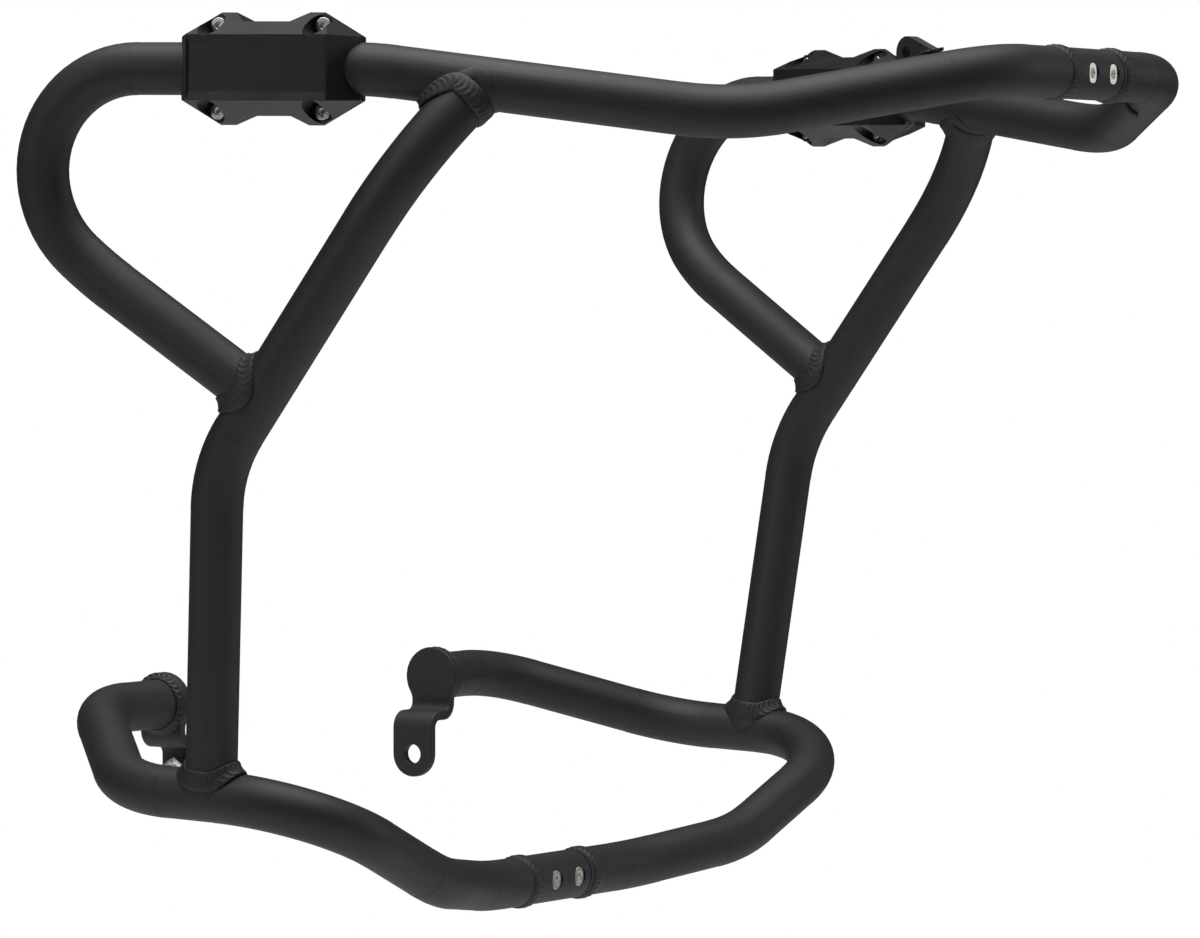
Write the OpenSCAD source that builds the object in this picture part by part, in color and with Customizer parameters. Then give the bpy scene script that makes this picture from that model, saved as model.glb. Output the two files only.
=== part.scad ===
// Crash bars for a motorcycle: two mirrored halves of welded steel tube, joined on the
// middle of the bike by two half-lap joints, with a moulded clamp on each upper rail.
// The origin is the middle of the common axis of the two lower bracket holes, on the
// middle plane of the bike. X points to the rider's left, minus Y points forward, Z is up.
// Every corner below is given for the left half, and the right half is its mirror image.

/* [Tube] */
// Outside diameter of every tube
tube_d = 25.4; // [22:0.1:28]
// Wall thickness of every tube
tube_wall = 2; // [1.5:0.1:3]

/* [Upper rail] */
// Loop, lower corner, distance from the middle plane
loop_low_x = 290.4; // [286:0.1:295]
// Loop, lower corner, place along the bike
loop_low_y = -78.7; // [-83:0.1:-74]
// Loop, lower corner, height
loop_low_z = 263.3; // [259:0.1:268]
// Loop, rear corner, distance from the middle plane
loop_rear_x = 328; // [324:0.1:332]
// Loop, rear corner, place along the bike
loop_rear_y = 22.9; // [19:0.1:27]
// Loop, rear corner, height
loop_rear_z = 363.3; // [359:0.1:368]
// Side corner, distance from the middle plane
side_x = 269; // [264:0.1:274]
// Side corner, place along the bike
side_y = -225.5; // [-230:0.1:-221]
// Side corner, height
side_z = 360.1; // [356:0.1:364]
// Front corner, distance from the middle plane
front_x = 194.8; // [190:0.1:200]
// Front corner, place along the bike
front_y = -380.6; // [-385:0.1:-376]
// Front corner, height
front_z = 337.6; // [333:0.1:342]
// Nose corner, distance from the middle plane
nose_x = 88.1; // [84:0.1:92]
// Nose, place along the bike
nose_y = -464.2; // [-470:0.1:-460]
// Nose, height
nose_z = 361.2; // [357:0.1:365]
// Bend radius at the loop's lower corner
loop_low_bend = 104; // [90:1:110]
// Bend radius at the loop's rear corner
loop_rear_bend = 52.3; // [49:0.1:53]
// Bend radius at the side corner
side_bend = 87; // [80:1:100]
// Bend radius at the front corner
front_bend = 92; // [85:1:100]
// Bend radius at the nose corner
nose_bend = 76; // [70:1:80]

/* [Post] */
// Lower bend, distance from the middle plane
post_low_x = 278.7; // [275:0.1:282]
// Lower bend, place along the bike
post_low_y = -141.6; // [-145:0.1:-138]
// Lower bend, height
post_low_z = 170.4; // [166:0.1:175]
// Upper bend, distance from the middle plane
post_high_x = 276.5; // [272:0.1:280]
// Upper bend, place along the bike
post_high_y = -252.6; // [-256:0.1:-249]
// Upper bend, height
post_high_z = 320.3; // [317:0.1:323]
// Radius of the lower bend
post_low_bend = 74.5; // [65:0.5:85]
// Radius of the upper bend
post_high_bend = 125; // [110:1:130]
// Distance along the lower rail from its heel corner to the post's foot
post_foot_run = 51.3; // [45:0.1:58]
// Distance along the upper rail from its side corner to the post's top
post_top_run = 52.6; // [48:0.1:58]
// Distance along the post from its lower bend to the end of the loop
loop_end_run = 41.6; // [38:0.1:48]

/* [Lower rail] */
// Elbow beside the bracket, distance from the middle plane
elbow_x = 184.6; // [181:0.1:188]
// Heel corner, distance from the middle plane
heel_x = 262.1; // [258:0.1:266]
// Heel corner, place along the bike
heel_y = -73.9; // [-77:0.1:-71]
// Heel corner, height
heel_z = 10.9; // [8:0.1:14]
// Toe corner, distance from the middle plane
toe_x = 261.3; // [258:0.1:265]
// Toe corner, place along the bike
toe_y = -188.1; // [-191:0.1:-185]
// Toe corner, height
toe_z = 6.2; // [3:0.1:9]
// Belly outer corner, distance from the middle plane
belly_x = 146.7; // [143:0.1:150]
// Belly outer corner, place along the bike
belly_y = -183; // [-186:0.1:-180]
// Belly outer corner, height
belly_z = -40.2; // [-43:0.1:-37]
// Middle stretch, distance from the middle plane of its corner
middle_x = 69.7; // [66:0.1:73]
// Middle stretch, place along the bike
middle_y = -161.7; // [-165:0.1:-159]
// Middle stretch, height
middle_z = -49.5; // [-53:0.1:-46]
// Bend radius at the elbow
elbow_bend = 60; // [50:1:64]
// Bend radius at the heel
heel_bend = 58; // [50:1:62]
// Bend radius at the toe
toe_bend = 58; // [50:1:62]
// Bend radius at the belly corner
belly_bend = 101; // [90:1:110]
// Bend radius at the middle corner
middle_bend = 117; // [100:1:125]

/* [Half-lap joints] */
// Centre of the upper joint, to the left of the middle plane
upper_joint_x = 1; // [-15:0.1:15]
// Centre of the lower joint, to the left of the middle plane
lower_joint_x = -10.8; // [-15:0.1:15]
// Half of the gap between the two tube ends
joint_half = 29; // [26:0.1:33]
// Length of the full round collar on each insert
collar_length = 7; // [5:0.1:9]
// Gap between a tongue's end and the other insert's collar
tongue_end_gap = 1; // [0.5:0.1:2]
// Gap between the two tongues
tongue_gap = 0.1; // [0.05:0.01:0.3]
// Length of the spigot inside the tube
spigot_length = 16; // [10:1:25]
// Radial clearance of the spigot in the tube
spigot_clearance = 0.1; // [0.05:0.01:0.3]
// Distance of each joint screw from the centre of the joint
joint_screw_x = 11; // [10.5:0.1:12]
// Diameter of a joint screw's thread
joint_screw_d = 6; // [5:0.1:6.5]
// Diameter of a joint screw's head
joint_head_d = 10; // [9:0.1:11]
// Height of a joint screw's head
joint_head_h = 6; // [5:0.1:7]
// Distance from the joint's axis to the outer face of a head
joint_head_reach = 11.7; // [11:0.1:12.5]
// Distance that a joint screw goes into the rear tongue
joint_screw_grip = 8; // [6:0.1:9]

/* [Lower brackets] */
// Thickness of the bracket plates
bracket_t = 5; // [4:0.1:6]
// Inner face of the bracket's disc, distance from the middle plane
disc_face_x = 124.8; // [122:0.1:128]
// Inner face of the bracket's leg, distance from the middle plane
leg_face_x = 105.8; // [104:0.1:107]
// Height of the disc's centre
disc_z = 41.5; // [40:0.1:43]
// How far the disc stands out round the tube
disc_rim = 3.6; // [3:0.1:4.5]
// Width of the leg
leg_w = 25; // [22:0.1:27]
// Radius of the waist between disc and leg
waist_r = 8.5; // [7:0.1:10]
// Middle radius of the two bends of the leg
joggle_r = 6.75; // [6:0.05:7.5]
// Height of the level stretch between the two bends
joggle_z = 20.85; // [20:0.05:21.5]
// Diameter of the bolt holes at the ends of the legs
bolt_hole_d = 10.5; // [8.5:0.1:12]

/* [Hex spacer on the right bracket] */
// Width across the flats
spacer_flats = 23; // [19:0.1:24]
// Thickness
spacer_t = 9; // [5:0.1:12]
// Diameter of its hole
spacer_hole_d = 11.2; // [11:0.1:13]

/* [Upper tabs] */
// Thickness of the tab plates
tab_t = 5.5; // [4:0.1:6]
// Distance along the rail from the nose corner back to the tab
tab_run = 32.6; // [30:0.1:45]
// Angle between the tab's plane and the rail that it is welded to, seen from above
tab_angle = 75.5; // [65:0.1:90]
// Distance of the hole behind the tube's surface
tab_hole_back = 6.6; // [6:0.1:9]
// Height of the hole over the tube's top
tab_hole_rise = 0.7; // [-1:0.1:2]
// Height of the bead round the tab
tab_weld_size = 2.2; // [1.5:0.1:3.5]
// Radius of the tab's round end
tab_end_r = 8; // [7:0.1:9]
// Diameter of the tab's hole
tab_hole_d = 6.6; // [5:0.1:8]

/* [Clamps] */
// Distance along the upper rail from the side corner back to the clamp's middle
clamp_run = 51; // [49:0.1:56]
// Half of the clamp's length
clamp_half = 45.7; // [44:0.1:47]
// Half of the length of the ridge round the clamp's panel
face_half = 36; // [34:0.1:37]
// Depth of one shell, from the split to the ridge
shell_depth = 23.5; // [21:0.1:25]
// Thickness of the shells at the clamp's ends
tip_t = 3.8; // [3:0.1:5]
// Half of the height of the clamp at its ends
end_rise = 15.1; // [14.8:0.1:16]
// Half of the height of the clamp between its lugs
waist_rise = 22.3; // [21.5:0.1:23]
// Half of the height of the clamp at its lugs
lug_rise = 27.1; // [26:0.1:28]
// Half of the height of the panel
face_rise = 11.4; // [10.5:0.1:12]
// Height of the sloping rim over and under the panel
rim_rise = 4.3; // [3:0.1:4.4]
// Half of the length between the lugs
lug_start = 11.9; // [11:0.1:13]
// Distance from the middle to the start of a lug's top
lug_top_start = 19; // [18:0.1:20]
// Distance from the middle to the end of a lug's top
lug_top_end = 26.2; // [25:0.1:28]
// Depth of the panel under the ridge
panel_depth = 1.3; // [0.6:0.1:2]
// Width of the sloping rim at the panel's ends
panel_rim = 1.4; // [1:0.1:2]
// Gap between the two shells
split_gap = 0.6; // [0.2:0.1:1.5]
// Radial clearance of the shells on the rail
clamp_clearance = 0.05; // [0.03:0.01:0.2]
// Distance of the clamp screws from the middle, along the rail
clamp_screw_run = 26.7; // [25.5:0.1:27.5]
// Distance of the clamp screws from the rail's axis, upward and downward
clamp_screw_rise = 20.6; // [20:0.1:21]
// Diameter of a clamp screw's thread
clamp_screw_d = 4; // [3:0.1:5]
// Diameter of a clamp screw's head
clamp_head_d = 7.6; // [7:0.1:8.5]
// Height of a clamp screw's head
clamp_head_h = 2.4; // [2:0.1:3.5]
// Distance from the split to the seat of a head or a nut
clamp_seat = 2; // [1.5:0.1:5]
// Width across the flats of a clamp nut
clamp_nut_flats = 7; // [6.5:0.1:8]
// Thickness of a clamp nut
clamp_nut_t = 4; // [3:0.1:5]

/* [Welds] */
// Thickness of the weld beads where two pieces meet at a corner
weld_size = 3.5; // [2:0.1:4]
// Width of the weld rings round the joints
ring_width = 10; // [8:0.1:12]
// Height of the weld rings over the tube
ring_rise = 1.4; // [0.8:0.1:2]

/* [Hidden] */
$fn = 64;

tube_r = tube_d / 2;
bore_r = tube_r - tube_wall;
weld_r = tube_r + weld_size;
// A bead reaches this much farther over the tube that runs through than over the one that ends there.
bead_spread = 0.2;
// A coped tube end stops this far from the tube that it is welded to.
cope_gap = 0.1;
// A bend is this much fatter than the straight runs, and each run reaches a little into it.
bend_swell = 0.1;
bend_lap = 0.3;
// Cutting shapes run past the faces that they cut by this much.
over = 1;
// Number of flats in one rounded stretch of an outline.
arc_flats = 10;
RIGHT = -1;
LEFT = 1;

loop_low = [loop_low_x, loop_low_y, loop_low_z];
loop_rear = [loop_rear_x, loop_rear_y, loop_rear_z];
side_corner = [side_x, side_y, side_z];
front_corner = [front_x, front_y, front_z];
nose_corner = [nose_x, nose_y, nose_z];
post_low = [post_low_x, post_low_y, post_low_z];
post_high = [post_high_x, post_high_y, post_high_z];
tube_start = [disc_face_x + bracket_t, 0, disc_z];
elbow = [elbow_x, 0, disc_z];
heel = [heel_x, heel_y, heel_z];
toe = [toe_x, toe_y, toe_z];
belly = [belly_x, belly_y, belly_z];
middle = [middle_x, middle_y, middle_z];

post_foot = along(heel, toe, post_foot_run);
post_top = along(side_corner, front_corner, post_top_run);
loop_end = along(post_low, post_high, loop_end_run);
tab_root = along(nose_corner, front_corner, tab_run);
tab_run_heading = atan2(front_corner[1] - nose_corner[1], front_corner[0] - nose_corner[0]);
tab_turn = tab_run_heading + tab_angle - 90;
tab_reach = tube_r + tab_hole_back;
tab_rise = tube_r + tab_hole_rise;
disc_r = tube_r + disc_rim;
clamp_middle = along(side_corner, loop_rear, clamp_run);

post_path = [post_foot, post_low, post_high, post_top];
post_bends = [0, post_low_bend, post_high_bend, 0];
rail_bends = [0, loop_low_bend, loop_rear_bend, side_bend, front_bend, nose_bend, 0];
lower_bends = [0, elbow_bend, heel_bend, toe_bend, belly_bend, middle_bend, 0];

// The clamp's own frame: X along the rail toward the front, Y out from the bike, Z up.
clamp_along = unit(side_corner - loop_rear);
clamp_out = unit([-clamp_along[1], clamp_along[0], 0]);
clamp_up = cross(clamp_along, clamp_out);

function unit(v) = v / norm(v);
function along(from, to, run) = from + unit(to - from) * run;
function arc(centre, r, from, to) =
    [for (i = [0 : arc_flats]) let (a = from + (to - from) * i / arc_flats) centre + r * [cos(a), sin(a)]];
function flipped(points) = [for (i = [len(points) - 1 : -1 : 0]) [points[i][0], -points[i][1]]];

// Distance from the middle plane to the end of a half's tube at a joint.
function tube_end_x(side, joint_x) = joint_half + side * joint_x;
function upper_path(side) = [
    loop_end, loop_low, loop_rear, side_corner, front_corner, nose_corner,
    [tube_end_x(side, upper_joint_x), nose_y, nose_z]
];
function lower_path(side) = [
    tube_start, elbow, heel, toe, belly, middle,
    [tube_end_x(side, lower_joint_x), middle_y, middle_z]
];

function turn_angle(p, i) = acos(unit(p[i] - p[i - 1]) * unit(p[i + 1] - p[i]));
function bend_reach(p, bends, i) = bends[i] == 0 ? 0 : bends[i] * tan(turn_angle(p, i) / 2);
function lap_at(bends, i) = bends[i] == 0 ? 0 : bend_lap;

// Puts its children so that their Z runs along forward and their X leans to side.
module frame_at(origin, forward, side) {
    z = unit(forward);
    x = unit(side - (side * z) * z);
    y = cross(z, x);
    multmatrix([
        [x[0], y[0], z[0], origin[0]],
        [x[1], y[1], z[1], origin[1]],
        [x[2], y[2], z[2], origin[2]],
        [0, 0, 0, 1]
    ]) children();
}

// Direction v turned through bend i, as the tube's own skin is.
function turned(v, p, i) =
    let (
        from = unit(p[i] - p[i - 1]),
        to = unit(p[i + 1] - p[i]),
        axis = unit(cross(from, to)),
        angle = turn_angle(p, i)
    )
    v * cos(angle) + cross(axis, v) * sin(angle) + axis * (axis * v) * (1 - cos(angle));
// One line along the tube's skin, so that the faces of its runs and bends start side by side.
function skin_line(p, i) =
    i == 0 ? unit(cross(p[1] - p[0], [0.1, 0.2, 1])) : turned(skin_line(p, i - 1), p, i);

// The solid that a round section sweeps along straight runs joined by bends.
module swept(p, bends, r, start_over = 0, end_over = 0) {
    last = len(p) - 1;
    for (i = [0 : last - 1]) {
        forward = unit(p[i + 1] - p[i]);
        before = i == 0 ? start_over : lap_at(bends, i) - bend_reach(p, bends, i);
        after = i == last - 1 ? end_over : lap_at(bends, i + 1) - bend_reach(p, bends, i + 1);
        frame_at(p[i] - forward * before, forward, skin_line(p, i))
            cylinder(h = norm(p[i + 1] - p[i]) + before + after, r = r);
    }
    for (i = [1 : last - 1]) {
        forward = unit(p[i] - p[i - 1]);
        inward = unit(p[i + 1] - p[i] - ((p[i + 1] - p[i]) * forward) * forward);
        skin = skin_line(p, i - 1);
        skin_angle = atan2(-cross(forward, inward) * skin, -inward * skin);
        frame_at(p[i] - forward * bend_reach(p, bends, i), forward, inward)
            translate([bends[i], 0, 0])
                rotate([90, 0, 0])
                    rotate_extrude(angle = -turn_angle(p, i), start = 180)
                        translate([bends[i], 0])
                            rotate([0, 0, skin_angle])
                                circle(r = r + bend_swell);
    }
}

// A mirror image for the right half, and the same shape for the left.
module on_side(side) {
    if (side == LEFT) children();
    else mirror([1, 0, 0]) children();
}

module upper_rail(side) {
    color("#2b2b2e")
        on_side(side)
            difference() {
                swept(upper_path(side), rail_bends, tube_r);
                swept(upper_path(side), rail_bends, bore_r, over, over);
                swept(post_path, post_bends, tube_r + cope_gap);
            }
}

module post(side) {
    color("#2b2b2e")
        on_side(side)
            difference() {
                swept(post_path, post_bends, tube_r);
                swept(post_path, post_bends, bore_r, over, over);
                swept(upper_path(side), rail_bends, tube_r + cope_gap);
                swept(lower_path(side), lower_bends, tube_r + cope_gap);
            }
}

module lower_rail(side) {
    color("#2b2b2e")
        on_side(side)
            difference() {
                swept(lower_path(side), lower_bends, tube_r);
                swept(lower_path(side), lower_bends, bore_r, over, over);
            }
}

// One insert with its full round collar, its spigot in the tube and half a tongue.
// Its X runs from the joint's centre toward its own tube.
module insert(facing) {
    shoulder = joint_half - collar_length;
    tongue_length = 2 * shoulder - tongue_end_gap;
    rotate([0, 90, 0]) {
        translate([0, 0, shoulder]) cylinder(h = collar_length, r = tube_r);
        translate([0, 0, joint_half - over])
            cylinder(h = spigot_length + over, r = bore_r - spigot_clearance);
    }
    difference() {
        translate([shoulder - tongue_length, 0, 0])
            rotate([0, 90, 0]) cylinder(h = tongue_length + over, r = tube_r);
        translate([-joint_half, facing > 0 ? tongue_gap / 2 - tube_d : -tongue_gap / 2, -tube_d / 2 - over])
            cube([2 * joint_half, tube_d, tube_d + 2 * over]);
        for (x = [-joint_screw_x, joint_screw_x])
            translate([x, 0, 0]) joint_screw_holes(facing);
    }
}

// The front tongue has stepped holes for the heads, and the rear one has blind threads.
module joint_screw_holes(facing) {
    head_room = 0.3;
    shank_room = 0.3;
    tip_room = 1;
    if (facing < 0) {
        rotate([90, 0, 0]) cylinder(h = tube_r + over, r = joint_screw_d / 2 + shank_room);
        translate([0, joint_head_h - joint_head_reach, 0])
            rotate([90, 0, 0]) cylinder(h = tube_r + over, r = joint_head_d / 2 + head_room);
    } else {
        rotate([-90, 0, 0]) cylinder(h = joint_screw_grip + tip_room, r = joint_screw_d / 2);
    }
}

// The right insert has the front tongue and the left insert has the rear one.
module joint_insert(side, joint_x, y, z) {
    color("#2b2b2e")
        translate([joint_x, y, z])
            on_side(side)
                insert(side);
}

// A socket head screw along Y, with its head toward the front.
module joint_screw() {
    socket_flats = 5;
    socket_depth = 3;
    thread_play = 0.02;
    difference() {
        union() {
            translate([0, joint_head_h - joint_head_reach, 0])
                rotate([90, 0, 0]) cylinder(h = joint_head_h, r = joint_head_d / 2);
            translate([0, joint_screw_grip, 0])
                rotate([90, 0, 0])
                    cylinder(
                        h = joint_screw_grip + joint_head_reach - joint_head_h / 2,
                        r = joint_screw_d / 2 - thread_play
                    );
        }
        translate([0, socket_depth - joint_head_reach, 0])
            rotate([90, 0, 0])
                cylinder(h = socket_depth + over, r = socket_flats / 2 / cos(30), $fn = 6);
    }
}

module joint_screws(joint_x, y, z) {
    color("silver")
        for (x = [-joint_screw_x, joint_screw_x])
            translate([joint_x + x, y, z]) joint_screw();
}

// The bracket's outline seen along the bike's width: a disc, a waist and a rounded leg.
module bracket_outline() {
    leg_r = leg_w / 2;
    waist_y = leg_r + waist_r;
    waist_turn = acos(waist_y / (disc_r + waist_r));
    waist_z = disc_z - (disc_r + waist_r) * sin(waist_turn);
    half = concat(
        arc([0, 0], leg_r, -90, 0),
        arc([waist_y, waist_z], waist_r, 180, 180 - waist_turn),
        arc([0, disc_z], disc_r, -waist_turn, 90)
    );
    other = [for (i = [len(half) - 1 : -1 : 0]) [-half[i][0], half[i][1]]];
    polygon(concat(half, other));
}

// The bracket's section across the bike: the disc's plate, two bends and the leg's plate.
module bracket_section() {
    half_t = bracket_t / 2;
    low = leg_w;
    high = disc_z + 2 * disc_r;
    outer_r = joggle_r + half_t;
    inner_r = joggle_r - half_t;
    top_centre = [disc_face_x + half_t - joggle_r, joggle_z + joggle_r];
    low_centre = [leg_face_x + half_t + joggle_r, joggle_z - joggle_r];
    polygon(concat(
        [[leg_face_x, -low]],
        arc(low_centre, outer_r, 180, 90),
        arc(top_centre, inner_r, -90, 0),
        [[disc_face_x, high], [disc_face_x + bracket_t, high]],
        arc(top_centre, outer_r, 0, -90),
        arc(low_centre, inner_r, 90, 180),
        [[leg_face_x + bracket_t, -low]]
    ));
}

module lower_bracket(side) {
    color("#2b2b2e")
        on_side(side)
            difference() {
                intersection() {
                    rotate([90, 0, 0])
                        linear_extrude(height = 4 * disc_r, center = true) bracket_section();
                    rotate([90, 0, 90])
                        linear_extrude(height = disc_face_x + 2 * bracket_t) bracket_outline();
                }
                translate([leg_face_x - over, 0, 0])
                    rotate([0, 90, 0])
                        cylinder(h = bracket_t + 2 * over, r = bolt_hole_d / 2);
            }
}

// A plain hexagon with one corner up and a chamfered outer face.
module bracket_spacer() {
    corner_r = spacer_flats / 2 / cos(30);
    chamfer = 2;
    color("silver")
        on_side(RIGHT)
            translate([leg_face_x + bracket_t, 0, 0])
                rotate([0, 90, 0])
                    difference() {
                        intersection() {
                            cylinder(h = spacer_t, r = corner_r, $fn = 6);
                            union() {
                                cylinder(h = spacer_t - chamfer, r = corner_r + over);
                                translate([0, 0, spacer_t - chamfer])
                                    cylinder(h = chamfer, r1 = corner_r, r2 = corner_r - 2 * chamfer);
                            }
                        }
                        translate([0, 0, -over])
                            cylinder(h = spacer_t + 2 * over, r = spacer_hole_d / 2);
                    }
}

// The tab's outline: X runs back from the rail's axis and Y runs up.
module tab_outline(extra = 0) {
    top_over_tube = 1.5;
    root_back = tube_r / 2;
    low_tangent = -55;
    top_tangent = 115;
    root_top = [-1, tube_r + top_over_tube + extra];
    root_low = [root_back, -tube_r - extra];
    centre = [tab_reach, tab_rise];
    rounded_end = arc(centre, tab_end_r + extra, low_tangent, top_tangent);
    polygon(concat([root_low], rounded_end, [root_top, [0, 0]]));
}

// Puts its children at the tab's root, with X back along the plate, Y up and Z across it.
module at_tab() {
    translate(tab_root)
        rotate([0, 0, tab_turn])
            rotate([90, 0, 90])
                children();
}

module upper_tab(side) {
    color("#2b2b2e")
        on_side(side)
            difference() {
                at_tab()
                    difference() {
                        linear_extrude(height = tab_t, center = true) tab_outline();
                        translate([tab_reach, tab_rise, 0])
                            cylinder(h = tab_t + 2 * over, r = tab_hole_d / 2, center = true);
                    }
                swept(upper_path(side), rail_bends, tube_r);
            }
}

// Puts its children at the clamp's middle, in the clamp's own frame.
module at_clamp() {
    multmatrix([
        [clamp_along[0], clamp_out[0], clamp_up[0], clamp_middle[0]],
        [clamp_along[1], clamp_out[1], clamp_up[1], clamp_middle[1]],
        [clamp_along[2], clamp_out[2], clamp_up[2], clamp_middle[2]],
        [0, 0, 0, 1]
    ]) children();
}

// Half outline along the rail and up: ends, lugs and the waist between them.
module clamp_side_outline() {
    top = [
        [clamp_half, end_rise], [lug_top_end, lug_rise], [lug_top_start, lug_rise],
        [lug_start, waist_rise], [-lug_start, waist_rise], [-lug_top_start, lug_rise],
        [-lug_top_end, lug_rise], [-clamp_half, end_rise]
    ];
    polygon(concat(top, flipped(top)));
}

// Outline along the rail and outward, from the split to the flat face.
module clamp_plan_outline() {
    half_gap = split_gap / 2;
    polygon([
        [-clamp_half, half_gap], [clamp_half, half_gap], [clamp_half, tip_t],
        [face_half, shell_depth], [-face_half, shell_depth], [-clamp_half, tip_t]
    ]);
}

// Outline outward and up: the face with the ridge's two edges, and a long slope each way.
module clamp_end_outline() {
    upper = [[shell_depth, face_rise + rim_rise], [0, lug_rise], [-over, lug_rise]];
    polygon(concat(flipped(upper), upper));
}

// Cuts each end down to the plane through the ridge's corner, the tip's corner and the lug's top.
module clamp_end_trims() {
    ridge_corner = [face_half, shell_depth, face_rise + rim_rise];
    tip_corner = [clamp_half, tip_t, end_rise];
    lug_corner = [lug_top_end, 0, lug_rise];
    outward = unit(cross(tip_corner - ridge_corner, ridge_corner - lug_corner));
    size = 2 * clamp_half;
    for (x = [0, 1])
        for (z = [0, 1])
            mirror([x, 0, 0])
                mirror([0, 0, z])
                    translate(ridge_corner)
                        rotate([0, acos(outward[2]), atan2(outward[1], outward[0])])
                            translate([-size / 2, -size / 2, 0])
                                cube(size);
}

// The hollow with sloping rims whose floor is the panel.
module panel_recess() {
    ridge_width = 0.4;
    floor_out = shell_depth - panel_depth;
    floor_half = face_half - panel_rim;
    top_out = shell_depth + over;
    top_share = top_out - shell_depth;
    end_slope = (panel_rim - ridge_width) / panel_depth;
    side_slope = (rim_rise - ridge_width) / panel_depth;
    top_half = face_half - ridge_width + end_slope * top_share;
    top_rise = face_rise + rim_rise - ridge_width + side_slope * top_share;
    intersection() {
        linear_extrude(height = 4 * face_half, center = true)
            polygon([
                [-floor_half, floor_out], [floor_half, floor_out], [top_half, top_out], [-top_half, top_out]
            ]);
        rotate([90, 0, 90])
            linear_extrude(height = 4 * face_half, center = true)
                polygon([
                    [floor_out, -face_rise], [top_out, -top_rise], [top_out, top_rise], [floor_out, face_rise]
                ]);
    }
}

// One shell, outward from the split, before its panel is sunk.
module clamp_shell(room_r) {
    long = 4 * clamp_half;
    screw_room = 0.25;
    difference() {
        intersection() {
            rotate([90, 0, 0])
                linear_extrude(height = long, center = true) clamp_side_outline();
            linear_extrude(height = long, center = true) clamp_plan_outline();
            rotate([90, 0, 90])
                linear_extrude(height = long, center = true) clamp_end_outline();
        }
        clamp_end_trims();
        for (x = [-clamp_screw_run, clamp_screw_run])
            for (z = [-clamp_screw_rise, clamp_screw_rise])
                translate([x, 0, z])
                    rotate([-90, 0, 0]) {
                        cylinder(h = shell_depth, r = clamp_screw_d / 2 + screw_room);
                        translate([0, 0, clamp_seat])
                            cylinder(h = shell_depth, r = room_r);
                    }
    }
}

module clamp_outer_shell(side) {
    head_room = 1.7;
    color("#232326")
        on_side(side)
            difference() {
                at_clamp()
                    difference() {
                        clamp_shell(clamp_head_d / 2 + head_room);
                        panel_recess();
                    }
                swept(upper_path(side), rail_bends, tube_r + clamp_clearance);
            }
}

module clamp_inner_shell(side) {
    nut_room = 1.2;
    color("#232326")
        on_side(side)
            difference() {
                at_clamp()
                    mirror([0, 1, 0])
                        clamp_shell(clamp_nut_flats / 2 / cos(30) + nut_room);
                swept(upper_path(side), rail_bends, tube_r + clamp_clearance);
            }
}

// A low socket head screw, outward along Z, with its seat at the clamp's seat.
module clamp_screw() {
    socket_flats = 3;
    socket_depth = 1.6;
    screw_end = clamp_seat + clamp_nut_t + 1;
    difference() {
        union() {
            translate([0, 0, clamp_seat])
                cylinder(h = clamp_head_h, r = clamp_head_d / 2);
            translate([0, 0, -screw_end])
                cylinder(h = screw_end + clamp_seat + clamp_head_h / 3, r = clamp_screw_d / 2);
        }
        translate([0, 0, clamp_seat + clamp_head_h - socket_depth])
            cylinder(h = socket_depth + over, r = socket_flats / 2 / cos(30), $fn = 6);
    }
}

module clamp_nut() {
    thread_play = 0.02;
    difference() {
        translate([0, 0, -clamp_seat - clamp_nut_t])
            cylinder(h = clamp_nut_t, r = clamp_nut_flats / 2 / cos(30), $fn = 6);
        translate([0, 0, -clamp_seat - clamp_nut_t - over])
            cylinder(h = clamp_nut_t + 2 * over, r = clamp_screw_d / 2 + thread_play);
    }
}

// Puts its children at each of the clamp's four screws, with Z outward.
module at_clamp_screws() {
    at_clamp()
        for (x = [-clamp_screw_run, clamp_screw_run])
            for (z = [-clamp_screw_rise, clamp_screw_rise])
                translate([x, 0, z])
                    rotate([-90, 0, 0])
                        children();
}

module clamp_screws(side) {
    color("silver") on_side(side) at_clamp_screws() clamp_screw();
}

module clamp_nuts(side) {
    color("#3a3a3d") on_side(side) at_clamp_screws() clamp_nut();
}

// The bead in the corner between two tubes.
module post_top_weld(side) {
    color("#2b2b2e")
        on_side(side)
            difference() {
                intersection() {
                    swept(post_path, post_bends, weld_r);
                    swept([side_corner, front_corner], [0, 0], weld_r + bead_spread);
                }
                swept(post_path, post_bends, tube_r);
                swept(upper_path(side), rail_bends, tube_r);
            }
}

module loop_end_weld(side) {
    color("#2b2b2e")
        on_side(side)
            difference() {
                intersection() {
                    swept([post_low, post_high], [0, 0], weld_r + bead_spread);
                    swept([loop_end, loop_low], [0, 0], weld_r);
                }
                swept(post_path, post_bends, tube_r);
                swept(upper_path(side), rail_bends, tube_r);
            }
}

module post_foot_weld(side) {
    color("#2b2b2e")
        on_side(side)
            difference() {
                intersection() {
                    swept([post_foot, post_low], [0, 0], weld_r);
                    swept([heel, toe, belly], [0, toe_bend, 0], weld_r + bead_spread);
                }
                swept(post_path, post_bends, tube_r);
                swept(lower_path(side), lower_bends, tube_r);
            }
}

// The bead in the corner between the tube's end and the bracket's disc.
module bracket_weld(side) {
    color("#2b2b2e")
        on_side(side)
            translate(tube_start)
                rotate([0, 90, 0])
                    rotate_extrude()
                        polygon([[tube_r, 0], [tube_r + weld_size, 0], [tube_r, weld_size]]);
}

module tab_weld(side) {
    color("#2b2b2e")
        on_side(side)
            difference() {
                intersection() {
                    at_tab()
                        linear_extrude(height = tab_t + 2 * tab_weld_size, center = true)
                            tab_outline(tab_weld_size);
                    swept([front_corner, nose_corner], [0, 0], tube_r + tab_weld_size);
                }
                swept(upper_path(side), rail_bends, tube_r);
                at_tab() linear_extrude(height = tab_t, center = true) tab_outline();
            }
}

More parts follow.
